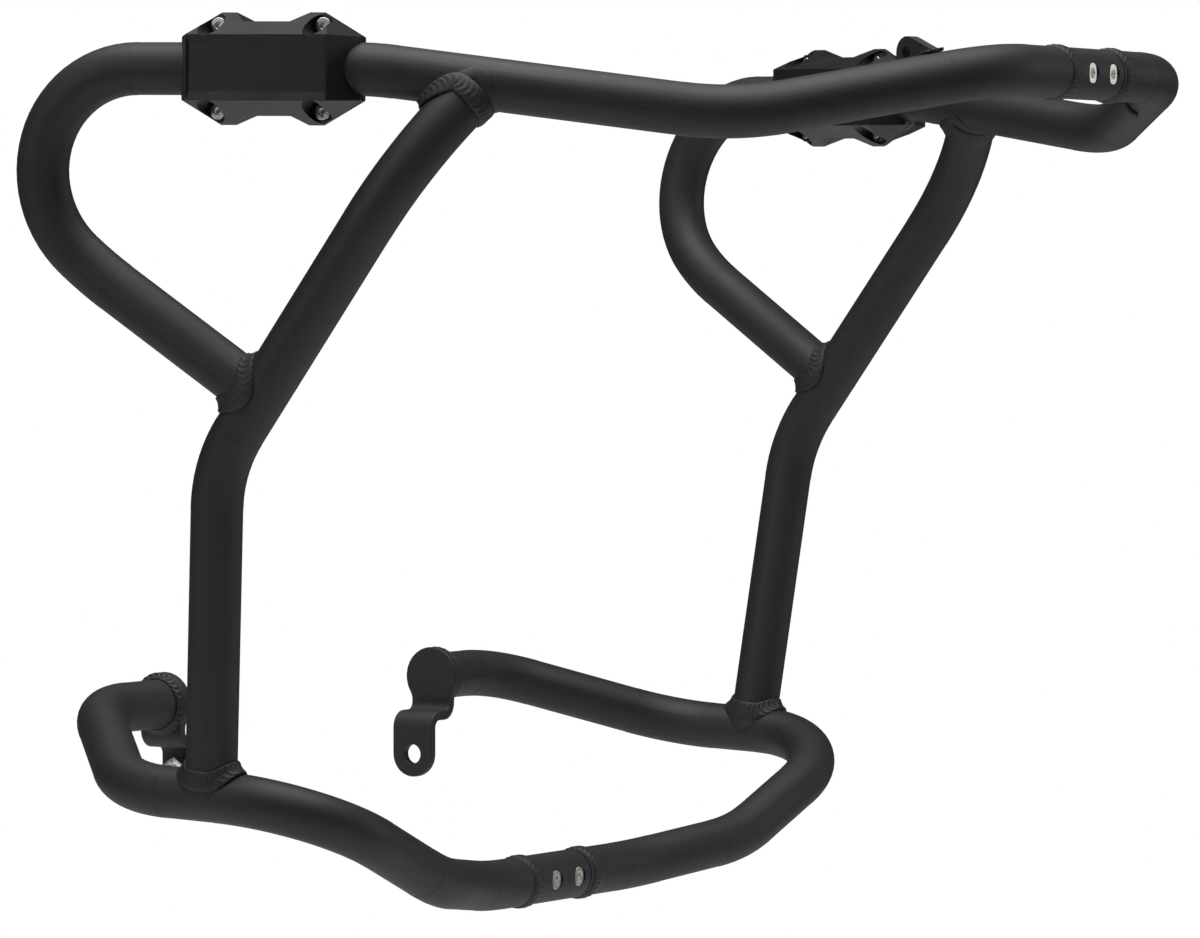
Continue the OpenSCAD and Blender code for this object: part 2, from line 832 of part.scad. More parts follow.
// A raised ring over the seam between a tube's end and its insert.
module ring_weld(side, joint_x, y, z) {
    half = ring_width / 2;
    crown_r = (half * half + ring_rise * ring_rise) / (2 * ring_rise);
    spread = asin(half / crown_r);
    color("#2b2b2e")
        translate([joint_x + side * joint_half, y, z])
            rotate([0, 90, 0])
                rotate_extrude()
                    polygon(arc([tube_r + ring_rise - crown_r, 0], crown_r, -spread, spread));
}

upper_rail(RIGHT);  // right_upper_rail
upper_rail(LEFT);  // left_upper_rail
post(RIGHT);  // right_post
post(LEFT);  // left_post
lower_rail(RIGHT);  // right_lower_rail
lower_rail(LEFT);  // left_lower_rail
lower_bracket(RIGHT);  // right_lower_bracket
lower_bracket(LEFT);  // left_lower_bracket
upper_tab(RIGHT);  // right_upper_tab
upper_tab(LEFT);  // left_upper_tab
bracket_spacer();  // right_bracket_spacer
joint_insert(RIGHT, upper_joint_x, nose_y, nose_z);  // right_upper_insert
joint_insert(LEFT, upper_joint_x, nose_y, nose_z);  // left_upper_insert
joint_insert(RIGHT, lower_joint_x, middle_y, middle_z);  // right_lower_insert
joint_insert(LEFT, lower_joint_x, middle_y, middle_z);  // left_lower_insert
joint_screws(upper_joint_x, nose_y, nose_z);  // upper_joint_screws
joint_screws(lower_joint_x, middle_y, middle_z);  // lower_joint_screws
clamp_outer_shell(RIGHT);  // right_clamp_outer_shell
clamp_outer_shell(LEFT);  // left_clamp_outer_shell
clamp_inner_shell(RIGHT);  // right_clamp_inner_shell
clamp_inner_shell(LEFT);  // left_clamp_inner_shell
clamp_screws(RIGHT);  // right_clamp_screws
clamp_screws(LEFT);  // left_clamp_screws
clamp_nuts(RIGHT);  // right_clamp_nuts
clamp_nuts(LEFT);  // left_clamp_nuts
post_top_weld(RIGHT);  // right_post_top_weld
post_top_weld(LEFT);  // left_post_top_weld
loop_end_weld(RIGHT);  // right_loop_end_weld
loop_end_weld(LEFT);  // left_loop_end_weld
post_foot_weld(RIGHT);  // right_post_foot_weld
post_foot_weld(LEFT);  // left_post_foot_weld
bracket_weld(RIGHT);  // right_bracket_weld
bracket_weld(LEFT);  // left_bracket_weld
tab_weld(RIGHT);  // right_tab_weld
tab_weld(LEFT);  // left_tab_weld
ring_weld(RIGHT, upper_joint_x, nose_y, nose_z);  // right_upper_ring_weld
ring_weld(LEFT, upper_joint_x, nose_y, nose_z);  // left_upper_ring_weld
ring_weld(RIGHT, lower_joint_x, middle_y, middle_z);  // right_lower_ring_weld
ring_weld(LEFT, lower_joint_x, middle_y, middle_z);  // left_lower_ring_weld
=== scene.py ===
"""The looks of a pair of motorcycle crash bars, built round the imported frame."""

import math

import bmesh
import bpy
import numpy as np
from bpy.props import FloatProperty, FloatVectorProperty, IntProperty, PointerProperty
from mathutils import Matrix, Vector


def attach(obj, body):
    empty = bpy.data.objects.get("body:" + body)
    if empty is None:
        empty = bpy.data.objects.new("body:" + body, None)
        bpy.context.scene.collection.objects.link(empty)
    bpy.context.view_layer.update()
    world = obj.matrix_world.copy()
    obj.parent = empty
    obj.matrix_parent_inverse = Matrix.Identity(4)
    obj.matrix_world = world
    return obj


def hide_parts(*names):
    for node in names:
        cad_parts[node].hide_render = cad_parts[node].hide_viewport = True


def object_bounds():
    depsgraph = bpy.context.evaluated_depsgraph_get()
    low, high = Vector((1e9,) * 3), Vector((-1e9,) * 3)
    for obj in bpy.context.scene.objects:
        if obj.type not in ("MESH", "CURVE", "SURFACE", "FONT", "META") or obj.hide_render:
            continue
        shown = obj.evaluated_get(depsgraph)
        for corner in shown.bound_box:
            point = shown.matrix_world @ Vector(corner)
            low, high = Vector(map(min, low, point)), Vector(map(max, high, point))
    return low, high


bl_info = {
    "name": "Crash bars",
    "version": (1, 0, 0),
    "blender": (4, 5, 0),
    "location": "View3D > Sidebar > Crash bars",
    "description": "Finishes, rippled welds, rounded plates and clamps for motorcycle crash bars",
    "category": "Object",
}

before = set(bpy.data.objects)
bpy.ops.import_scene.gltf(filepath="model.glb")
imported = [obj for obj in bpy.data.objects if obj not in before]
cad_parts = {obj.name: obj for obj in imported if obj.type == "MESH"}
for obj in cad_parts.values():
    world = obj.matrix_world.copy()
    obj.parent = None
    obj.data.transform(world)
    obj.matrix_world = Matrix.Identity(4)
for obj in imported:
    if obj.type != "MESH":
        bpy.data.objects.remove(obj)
CAD_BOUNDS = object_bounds()

SIDES = ("right", "left")
TUBES = ("upper_rail", "post", "lower_rail")
PLATES = ("lower_bracket", "upper_tab")
INSERTS = ("upper_insert", "lower_insert")
SEAM_WELDS = ("upper_ring_weld", "lower_ring_weld")
SHELLS = ("clamp_outer_shell", "clamp_inner_shell")
BODY = "root"
# Points closer than this are one point, in metres.
SAME_POINT = 2e-6
# Faces that turn by less than this are one flat face.
SAME_FACE = math.radians(0.5)
# Edges that turn by more than this are rounded: the rims of a shell's panel turn by little.
PLATE_CORNER = math.radians(32)
SHELL_CORNER = math.radians(17.8)
TUBE_R = 0.0127
# Corners of the left half's tubes where their straight runs would meet, in millimetres.
CORNERS = {
    "loop_low": (290.4, -78.7, 263.3),
    "side": (269, -225.5, 360.1),
    "front": (194.8, -380.6, 337.6),
    "post_low": (278.7, -141.6, 170.4),
    "post_high": (276.5, -252.6, 320.3),
    "heel": (262.1, -73.9, 10.9),
    "toe": (261.3, -188.1, 6.2),
}
# How far along its host's run each welded end meets it, in metres.
POST_TOP_RUN = 0.0526
LOOP_END_RUN = 0.0416
POST_FOOT_RUN = 0.0513
# Points round a bead and across its face, and across its hidden back as shares of half its width.
BEAD_STEPS = 480
BEAD_ROWS = 19
BEAD_BACK = (0.7, 0.0, -0.7)
# How far a bead's edges and its back lie under the surface, in metres.
BEAD_SINK = 0.0003
BEAD_DEPTH = 0.0012
# How far below and above its path a bead's surface is looked for, and how often that span is halved.
SEARCH_LOW = -0.006
SEARCH_HIGH = 0.009
SEARCH_HALVINGS = 22
# Shapes of a ripple: how its crest leans, how the bead's back falls off, how the ripple fades.
CREST_LEAN = 0.6
CROWN_FALL = 0.8
RIPPLE_FADE = 0.5
# Sharpness of the turn from a corner bead's saddle to its flanks.
SADDLE_POWER = 6
# The low root that closes the seam under a corner bead.
ROOT_DEPTH = 0.002
ROOT_WIDTH = 0.0065
ROOT_HEIGHT = 0.0005
# Any direction that no tube runs along: rings of points start square to it.
RING_START = (0.31, 0.52, 0.79)
# Sizes of the finishes' textures, in features per metre.
PEEL_SCALE = 260
CLOUD_SCALE = 18
SPECK_SCALE = 2600
PLASTIC_GRAIN_SCALE = 2200
PLASTIC_FLOW_SCALE = 35
SCRATCH_SCALE = 3200
STAIN_SCALE = 150
# Heights of the plastic's grain and the metal's scratches, in metres.
PLASTIC_GRAIN_HEIGHT = 0.00005
SCRATCH_HEIGHT = 0.00004
# The range that most of a noise texture lies in.
NOISE_LOW = 0.3
NOISE_HIGH = 0.7
# The point that the lamps look at and half the floor's side, in metres.
LAMP_TARGET = (0, -0.2, 0.15)
FLOOR_HALF = 1.5


def length(name, description, default):
    return FloatProperty(
        name=name, description=description, subtype="DISTANCE", unit="LENGTH", default=default)


def color(name, description, default):
    return FloatVectorProperty(
        name=name, description=description, subtype="COLOR", size=3, min=0, max=1, default=default)


class FinishSettings(bpy.types.PropertyGroup):
    """Colours and surface texture of every material."""

    coat_color: color("Powder coat", "Colour of the coated steel", (0.0185, 0.0175, 0.0222))
    coat_roughness: FloatProperty(
        name="Coat roughness", description="Mean roughness of the powder coat", min=0.2, max=1, default=0.56)
    coat_grain: length("Coat grain", "Size of one grain of the powder coat's texture", 0.00055)
    coat_grain_height: length("Grain height", "Height of the powder coat's grain", 0.00012)
    plastic_color: color("Moulded plastic", "Colour of the clamp shells", (0.013, 0.013, 0.0145))
    plastic_roughness: FloatProperty(
        name="Plastic roughness", description="Mean roughness of the clamp shells",
        min=0.1, max=1, default=0.36)
    screw_color: color("Screw steel", "Colour of the bare screws", (0.86, 0.84, 0.8))
    nut_color: color("Blackened steel", "Colour of the clamp nuts", (0.06, 0.06, 0.065))
    spacer_color: color("Bare steel", "Colour of the plated spacer", (0.78, 0.76, 0.7))


class WeldSettings(bpy.types.PropertyGroup):
    """The ripples of the weld beads."""

    ripple_pitch: length("Ripple pitch", "Distance between two ripples of a bead", 0.0028)
    ripple_height: length("Ripple height", "Height of a ripple from valley to crest", 0.00036)
    ripple_bow: FloatProperty(
        name="Ripple bow", description="How many pitches a ripple bows back at the bead's edges",
        min=0, max=3, default=1.1)
    bead_width: length("Bead width", "Width of a bead between two tubes, along their surfaces", 0.0106)
    bead_height: length("Bead height", "Height of a bead over the filled corner", 0.0021)
    corner_fill: length("Corner fill", "How far a bead fills the corner between two surfaces", 0.004)
    post_top_saddle: length(
        "Post top saddle", "Least distance of the post's top bead from the rail's axis", 0.0115)
    loop_end_saddle: length(
        "Loop end saddle", "Least distance of the loop's end bead from the post's axis", 0.0045)
    post_foot_saddle: length(
        "Post foot saddle", "Least distance of the post's foot bead from the lower rail's axis", 0.0098)
    tab_weld_grid: length("Tab weld grid", "Size of one face of the tabs' weld beads", 0.0005)
    tab_weld_passes: IntProperty(
        name="Tab weld rounding", description="Passes of smoothing over the tabs' weld beads",
        min=0, max=60, default=22)
    flange_width: length(
        "Bracket bead width", "Width of the bead between the stub and the bracket's disc", 0.0068)
    flange_height: length(
        "Bracket bead height", "Height of the bead between the stub and the bracket's disc", 0.0015)
    seam_width: length("Seam width", "Width of the beads at the joint inserts", 0.0095)
    seam_height: length("Seam height", "Height of the beads at the joint inserts", 0.0015)


class EdgeSettings(bpy.types.PropertyGroup):
    """How far the edges of plates, shells and screws are rounded."""

    plate_edge: length("Plate edges", "Rounding of the brackets' and tabs' edges", 0.0008)
    insert_edge: length("Insert edges", "Rounding of the joint inserts' edges", 0.0004)
    shell_edge: length("Clamp edges", "Rounding of the clamp shells' edges", 0.0007)
    screw_edge: length("Screw edges", "Rounding of the screws' and nuts' edges", 0.0003)


class StageSettings(bpy.types.PropertyGroup):
    """The camera, the lamps and the floor."""

    camera_place: FloatVectorProperty(
        name="Camera", description="Place of the camera", subtype="XYZ", unit="LENGTH",
        size=3, default=(-2.7016, -1.8496, 0.2611))
    camera_heading: FloatProperty(
        name="Heading", description="Camera's heading, from +Y toward +X",
        subtype="ANGLE", unit="ROTATION", default=math.radians(58.380))
    camera_dip: FloatProperty(
        name="Dip", description="How far the camera looks below the horizon",
        subtype="ANGLE", unit="ROTATION", default=math.radians(1.786))
    lens: FloatProperty(
        name="Lens", description="Focal length in millimetres on a 36 mm wide sensor", default=184.26)
    overhead_power: FloatProperty(
        name="Overhead lamp", description="Power of the wide lamp overhead", default=62)
    left_power: FloatProperty(
        name="Left lamp", description="Power of the lamp on the camera's left", default=9)
    right_power: FloatProperty(
        name="Right lamp", description="Power of the lamp behind on the camera's right", default=9)
    floor_drop: length("Floor drop", "Height of the part's lowest point over the floor", 0.30)
    surroundings: FloatProperty(
        name="Surroundings", description="Brightness of the room that lights the part", default=0.05)


def emptied_tree(owner):
    """The node tree of a material or world, without its first nodes."""
    owner.use_nodes = True
    tree = owner.node_tree
    tree.nodes.clear()
    return tree


def noise(tree, coords, scale, detail, roughness):
    """A noise texture in metres: scale is features per metre."""
    node = tree.nodes.new("ShaderNodeTexNoise")
    node.inputs["Scale"].default_value = scale
    node.inputs["Detail"].default_value = detail
    node.inputs["Roughness"].default_value = roughness
    tree.links.new(coords, node.inputs["Vector"])
    return node


def spread(tree, source, low, high):
    """Maps a texture's middle range onto low to high."""
    node = tree.nodes.new("ShaderNodeMapRange")
    node.inputs["From Min"].default_value = NOISE_LOW
    node.inputs["From Max"].default_value = NOISE_HIGH
    node.inputs["To Min"].default_value = low
    node.inputs["To Max"].default_value = high
    tree.links.new(source, node.inputs["Value"])
    return node.outputs["Result"]


def tinted(tree, source, color, change):
    """The colour, lightened and darkened by the given share where the texture says."""
    mix = tree.nodes.new("ShaderNodeMix")
    mix.data_type = "RGBA"
    dark = [c * (1 - change) for c in color]
    light = [c * (1 + change) for c in color]
    mix.inputs["A"].default_value = (*dark, 1)
    mix.inputs["B"].default_value = (*light, 1)
    tree.links.new(source, mix.inputs["Factor"])
    return mix.outputs["Result"]


def bumped(tree, height, distance, strength, under=None):
    """A normal that follows the height texture, over another normal if one is given."""
    node = tree.nodes.new("ShaderNodeBump")
    node.inputs["Strength"].default_value = strength
    node.inputs["Distance"].default_value = distance
    tree.links.new(height, node.inputs["Height"])
    if under is not None:
        tree.links.new(under, node.inputs["Normal"])
    return node.outputs["Normal"]


def new_surface(name):
    """A material with its shader, output and object coordinates."""
    material = bpy.data.materials.new(name)
    tree = emptied_tree(material)
    output = tree.nodes.new("ShaderNodeOutputMaterial")
    shader = tree.nodes.new("ShaderNodeBsdfPrincipled")
    tree.links.new(shader.outputs["BSDF"], output.inputs["Surface"])
    coords = tree.nodes.new("ShaderNodeTexCoord").outputs["Object"]
    return material, tree, shader, coords


def powder_coat():
    """Matte black powder coat: a fine even grain over a slight orange peel."""
    finish = bpy.context.scene.crash_finish
    material, tree, shader, coords = new_surface("powder_coat_black")
    grain = noise(tree, coords, 1 / finish.coat_grain, 2, 0.55)
    peel = noise(tree, coords, PEEL_SCALE, 2, 0.5)
    cloud = noise(tree, coords, CLOUD_SCALE, 3, 0.5)
    speck = noise(tree, coords, SPECK_SCALE, 1, 0.5)
    tree.links.new(tinted(tree, speck.outputs["Fac"], finish.coat_color, 0.22), shader.inputs["Base Color"])
    rough = finish.coat_roughness
    tree.links.new(spread(tree, cloud.outputs["Fac"], rough - 0.03, rough + 0.04), shader.inputs["Roughness"])
    wave = bumped(tree, peel.outputs["Fac"], finish.coat_grain_height, 0.35)
    normal = bumped(tree, grain.outputs["Fac"], finish.coat_grain_height, 0.55, wave)
    tree.links.new(normal, shader.inputs["Normal"])
    shader.inputs["Specular IOR Level"].default_value = 0.5
    return material


def moulded_plastic():
    """Satin black moulded plastic with a spark-eroded grain."""
    finish = bpy.context.scene.crash_finish
    material, tree, shader, coords = new_surface("clamp_plastic_black")
    grain = noise(tree, coords, PLASTIC_GRAIN_SCALE, 2, 0.5)
    flow = noise(tree, coords, PLASTIC_FLOW_SCALE, 3, 0.55)
    tree.links.new(tinted(tree, flow.outputs["Fac"], finish.plastic_color, 0.12), shader.inputs["Base Color"])
    rough = finish.plastic_roughness
    tree.links.new(spread(tree, flow.outputs["Fac"], rough - 0.04, rough + 0.05), shader.inputs["Roughness"])
    tree.links.new(bumped(tree, grain.outputs["Fac"], PLASTIC_GRAIN_HEIGHT, 0.35), shader.inputs["Normal"])
    return material


def bare_metal(name, color, roughness, scratch):
    """Bare turned metal: fine scratches and slightly uneven gloss."""
    material, tree, shader, coords = new_surface(name)
    scratches = noise(tree, coords, SCRATCH_SCALE, 3, 0.7)
    stain = noise(tree, coords, STAIN_SCALE, 2, 0.5)
    tree.links.new(tinted(tree, stain.outputs["Fac"], color, 0.1), shader.inputs["Base Color"])
    gloss = spread(tree, scratches.outputs["Fac"], roughness - 0.06, roughness + 0.08)
    tree.links.new(gloss, shader.inputs["Roughness"])
    tree.links.new(bumped(tree, scratches.outputs["Fac"], SCRATCH_HEIGHT, scratch), shader.inputs["Normal"])
    shader.inputs["Metallic"].default_value = 1.0
    return material


def finish_for(slot):
    """The material of one of the record's slots, made once."""
    finish = bpy.context.scene.crash_finish
    makers = {
        "powder_coat": powder_coat,
        "moulded_plastic": moulded_plastic,
        "screw_steel": lambda: bare_metal("screw_steel_bare", finish.screw_color, 0.26, 0.02),
        "dark_steel": lambda: bare_metal("nut_steel_black", finish.nut_color, 0.45, 0.1),
        "bare_steel": lambda: bare_metal("spacer_steel_plated", finish.spacer_color, 0.34, 0.12),
    }
    key = "crash_material_" + slot
    name = bpy.context.scene.get(key)
    if name is None:
        material = makers[slot]()
        bpy.context.scene[key] = material.name
        return material
    return bpy.data.materials[name]


def dress(node_name, slot):
    """Gives a CAD node that stays its procedural material."""
    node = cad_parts[node_name]
    for material_slot in node.material_slots:
        material_slot.material = finish_for(slot)


def stand_in(node_name, mesh, slot):
    """Shows a piece in place of its CAD node."""
    mesh.materials.clear()
    mesh.materials.append(finish_for(slot))
    piece = bpy.data.objects.new(node_name + "_visual", mesh)
    bpy.context.scene.collection.objects.link(piece)
    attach(piece, BODY)
    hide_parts(node_name)
    return piece


def joined_copy(node_name):
    """A node's mesh with its faces joined along their edges, as a bmesh."""
    mesh = bmesh.new()
    mesh.from_mesh(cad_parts[node_name].data)
    bmesh.ops.remove_doubles(mesh, verts=mesh.verts, dist=SAME_POINT)
    return mesh


def baked(piece):
    """Turns a piece's modifiers into its mesh."""
    bpy.context.view_layer.update()
    graph = bpy.context.evaluated_depsgraph_get()
    mesh = bpy.data.meshes.new_from_object(piece.evaluated_get(graph))
    old = piece.data
    piece.modifiers.clear()
    piece.data = mesh
    bpy.data.meshes.remove(old)
    return mesh


def rounded_piece(node_name, edge, slot, steps=3, flat_sides=False):
    """Shows a CAD node's shape with rounded corners: flat sides are for shapes of flat faces alone."""
    corner = SHELL_CORNER if flat_sides else PLATE_CORNER
    copy = joined_copy(node_name)
    bmesh.ops.dissolve_limit(copy, angle_limit=SAME_FACE, verts=copy.verts, edges=copy.edges)
    mesh = bpy.data.meshes.new(node_name + "_rounded")
    copy.to_mesh(mesh)
    copy.free()
    for polygon in mesh.polygons:
        polygon.use_smooth = not flat_sides
    piece = stand_in(node_name, mesh, slot)
    bevel = piece.modifiers.new("edges", "BEVEL")
    bevel.width = edge
    bevel.segments = steps
    bevel.limit_method = "ANGLE"
    bevel.angle_limit = corner
    bevel.miter_outer = "MITER_ARC"
    if not flat_sides:
        even = piece.modifiers.new("even", "WEIGHTED_NORMAL")
        even.weight = 100
    baked(piece)


def softened_piece(node_name, step, passes, slot):
    """Shows a CAD node's shape melted round, as weld metal is."""
    copy = joined_copy(node_name)
    mesh = bpy.data.meshes.new(node_name + "_softened")
    copy.to_mesh(mesh)
    copy.free()
    piece = stand_in(node_name, mesh, slot)
    grid = piece.modifiers.new("grid", "REMESH")
    grid.mode = "VOXEL"
    grid.voxel_size = step
    grid.use_smooth_shade = True
    soften = piece.modifiers.new("soften", "SMOOTH")
    soften.iterations = passes
    mesh = baked(piece)
    mesh.materials.clear()
    mesh.materials.append(finish_for(slot))


def unit(vectors):
    """Vectors of length one in the same directions."""
    vectors = np.asarray(vectors, float)
    return vectors / np.linalg.norm(vectors, axis=-1, keepdims=True)


def tube_distance(points, along):
    """Distance of points from the surface of a tube through the origin."""
    off_axis = points - (points @ along)[..., None] * along
    return np.linalg.norm(off_axis, axis=-1) - TUBE_R


def blended(first, second, fill):
    """The smaller of two distances, with the corner between them filled."""
    near = np.maximum(fill - np.abs(first - second), 0) / fill
    return np.minimum(first, second) - near * near * fill / 4


def circle_round(along, count):
    """A ring of points on a tube's surface, and the direction that each faces."""
    along = unit(along)
    first = unit(np.cross(along, RING_START))
    second = np.cross(along, first)
    turn = np.linspace(0, 2 * math.pi, count, endpoint=False)[:, None]
    facing = np.cos(turn) * first + np.sin(turn) * second
    return facing * TUBE_R, facing


def bead_shell(path, facing, narrowing, distance, half_width, height, ripple=None):
    """Points and faces of a bead laid along a closed path on the surface that the distance describes."""
    settings = bpy.context.scene.crash_welds
    ripple = settings.ripple_height if ripple is None else ripple
    ahead = unit(np.roll(path, -1, 0) - np.roll(path, 1, 0))
    across = unit(np.cross(ahead, facing))
    facing = unit(np.cross(across, ahead))
    steps = np.linalg.norm(np.roll(path, -1, 0) - path, axis=1)
    run = np.concatenate([[0], np.cumsum(steps)[:-1]])
    ripples = round(steps.sum() / settings.ripple_pitch)
    lap = run / steps.sum() * ripples
    swing = np.linspace(-math.pi / 2, math.pi / 2, BEAD_ROWS)
    share = np.sin(swing)
    crown = np.cos(swing)
    wave = (lap[:, None] - settings.ripple_bow * share ** 2) % 1
    scale = np.sin(math.pi * wave ** CREST_LEAN)
    rise = (height - ripple) * crown ** CROWN_FALL - BEAD_SINK
    rise = rise + ripple * scale * crown ** RIPPLE_FADE
    share = np.concatenate([share, BEAD_BACK])
    rise = np.concatenate([rise, np.full((len(path), len(BEAD_BACK)), -BEAD_DEPTH)], axis=1)
    base = path[:, None] + (half_width * narrowing)[:, None, None] * share[:, None] * across[:, None]
    low = np.full(rise.shape, SEARCH_LOW)
    high = np.full(rise.shape, SEARCH_HIGH)
    for _ in range(SEARCH_HALVINGS):
        middle = (low + high) / 2
        outside = distance(base + middle[..., None] * facing[:, None]) > rise
        high = np.where(outside, middle, high)
        low = np.where(outside, low, middle)
    points = base + low[..., None] * facing[:, None]
    count, rows = rise.shape
    index = np.arange(count * rows).reshape(count, rows)
    around = np.roll(index, -1, 0)
    beside = np.roll(index, -1, 1)
    faces = np.stack([index, around, np.roll(around, -1, 1), beside], axis=-1).reshape(-1, 4)
    return points.reshape(-1, 3), faces


def bead_mesh(name, origin, shells):
    """One smooth mesh of closed shells whose points are measured from the origin."""
    points, faces, total = [], [], 0
    for shell_points, shell_faces in shells:
        points.extend((shell_points + origin).tolist())
        faces.extend((shell_faces + total).tolist())
        total += len(shell_points)
    mesh = bpy.data.meshes.new(name)
    mesh.from_pydata(points, [], faces)
    for polygon in mesh.polygons:
        polygon.use_smooth = True
    solid = bmesh.new()
    solid.from_mesh(mesh)
    bmesh.ops.recalc_face_normals(solid, faces=solid.faces)
    solid.to_mesh(mesh)
    solid.free()
    return mesh


def corner_bead(name, meeting, tube_along, host_along, saddle):
    """A bead round a tube's end where it meets the side of another tube."""
    settings = bpy.context.scene.crash_welds
    tube_along, host_along = unit(tube_along), unit(host_along)
    ring, _ = circle_round(tube_along, BEAD_STEPS)
    lean = tube_along @ host_along
    side = ring @ host_along
    reach = (side * lean + np.abs(side)) / (1 - lean ** 2)

    def distance(points):
        return blended(
            tube_distance(points, tube_along), tube_distance(points, host_along), settings.corner_fill)

    def shell(depth, half_width, height, ripple=None):
        rise = (reach ** SADDLE_POWER + depth ** SADDLE_POWER) ** (1 / SADDLE_POWER)
        path = ring + rise[:, None] * tube_along
        tube_facing = unit(path - (path @ tube_along)[:, None] * tube_along)
        host_facing = unit(path - (path @ host_along)[:, None] * host_along)
        narrowing = np.sqrt((1 + (tube_facing * host_facing).sum(1)) / 2)
        return bead_shell(
            path, unit(tube_facing + host_facing), narrowing, distance, half_width, height, ripple)

    bead = shell(saddle, settings.bead_width / 2, settings.bead_height)
    root = shell(ROOT_DEPTH, ROOT_WIDTH / 2, ROOT_HEIGHT, 0)
    return bead_mesh(name, meeting, [bead, root])


def flange_bead(name, meeting, tube_along):
    """A bead round a tube that stands on a flat disc."""
    settings = bpy.context.scene.crash_welds
    tube_along = unit(tube_along)
    path, facing = circle_round(tube_along, BEAD_STEPS)
    facing = unit(facing + tube_along)
    narrowing = np.full(len(path), math.sqrt(0.5))

    def distance(points):
        return blended(tube_distance(points, tube_along), points @ tube_along, settings.corner_fill)

    shell = bead_shell(path, facing, narrowing, distance, settings.flange_width / 2, settings.flange_height)
    return bead_mesh(name, meeting, [shell])


def seam_bead(name, middle):
    """A low bead round the seam between a tube and its joint insert."""
    settings = bpy.context.scene.crash_welds
    along = np.array([1.0, 0, 0])
    path, facing = circle_round(along, BEAD_STEPS)

    def distance(points):
        return tube_distance(points, along)

    narrowing = np.ones(len(path))
    shell = bead_shell(path, facing, narrowing, distance, settings.seam_width / 2, settings.seam_height)
    return bead_mesh(name, middle, [shell])


def on_side(side, point):
    """A point of the left half, in metres, on the given side."""
    mirror = -1 if side == "right" else 1
    return np.array([mirror * point[0], point[1], point[2]]) / 1000


def point_along(start, end, distance):
    """The point at the distance from the start toward the end."""
    return start + unit(end - start) * distance


def node_box(node_name):
    """Low and high corner of a CAD node, in the part's own axes."""
    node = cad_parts[node_name]
    points = np.array([node.matrix_world @ vertex.co for vertex in node.data.vertices])
    return points.min(0), points.max(0)


class CRASHBARS_OT_tubes(bpy.types.Operator):
    """Coats the bent tubes"""

    bl_idname = "crash_bars.tubes"
    bl_label = "Tubes"

    def execute(self, context):
        for side in SIDES:
            for tube in TUBES:
                dress(f"{side}_{tube}", "powder_coat")
        return {"FINISHED"}


class CRASHBARS_OT_plates(bpy.types.Operator):
    """Rounds the edges of the brackets, tabs and joint inserts"""

    bl_idname = "crash_bars.plates"
    bl_label = "Brackets, tabs and inserts"

    def execute(self, context):
        edges = context.scene.crash_edges
        for side in SIDES:
            for plate in PLATES:
                rounded_piece(f"{side}_{plate}", edges.plate_edge, "powder_coat")
            for insert in INSERTS:
                rounded_piece(f"{side}_{insert}", edges.insert_edge, "powder_coat", 2)
        return {"FINISHED"}


class CRASHBARS_OT_welds(bpy.types.Operator):
    """Lays the rippled weld beads"""

    bl_idname = "crash_bars.welds"
    bl_label = "Weld beads"

    def execute(self, context):
        settings = context.scene.crash_welds
        grid = settings.tab_weld_grid
        for side in SIDES:
            self.lay_corner_beads(side)
            self.lay_flange_bead(side)
            for seam in SEAM_WELDS:
                name = f"{side}_{seam}"
                low, high = node_box(name)
                stand_in(name, seam_bead(name + "_bead", (low + high) / 2), "powder_coat")
            softened_piece(f"{side}_tab_weld", grid, settings.tab_weld_passes, "powder_coat")
        return {"FINISHED"}

    def lay_corner_beads(self, side):
        corners = {name: on_side(side, point) for name, point in CORNERS.items()}
        top = point_along(corners["side"], corners["front"], POST_TOP_RUN)
        loop_end = point_along(corners["post_low"], corners["post_high"], LOOP_END_RUN)
        foot = point_along(corners["heel"], corners["toe"], POST_FOOT_RUN)
        settings = bpy.context.scene.crash_welds
        rail_run = corners["front"] - corners["side"]
        post_run = corners["post_high"] - corners["post_low"]
        lower_run = corners["toe"] - corners["heel"]
        beads = (
            ("post_top_weld", top, corners["post_high"] - top, rail_run, settings.post_top_saddle),
            ("loop_end_weld", loop_end, corners["loop_low"] - loop_end, post_run, settings.loop_end_saddle),
            ("post_foot_weld", foot, corners["post_low"] - foot, lower_run, settings.post_foot_saddle),
        )
        for weld, meeting, tube_along, host_along, saddle in beads:
            name = f"{side}_{weld}"
            mesh = corner_bead(name + "_bead", meeting, tube_along, host_along, saddle)
            stand_in(name, mesh, "powder_coat")

    def lay_flange_bead(self, side):
        name = f"{side}_bracket_weld"
        low, high = node_box(name)
        outward, inner_x = (-1, high[0]) if side == "right" else (1, low[0])
        meeting = (low + high) / 2
        meeting[0] = inner_x
        stand_in(name, flange_bead(name + "_bead", meeting, [outward, 0, 0]), "powder_coat")


class CRASHBARS_OT_clamps(bpy.types.Operator):
    """Moulds the clamp shells with rounded edges"""

    bl_idname = "crash_bars.clamps"
    bl_label = "Clamp shells"

    def execute(self, context):
        edge = context.scene.crash_edges.shell_edge
        for side in SIDES:
            for shell in SHELLS:
                rounded_piece(f"{side}_{shell}", edge, "moulded_plastic", 2, True)
        return {"FINISHED"}


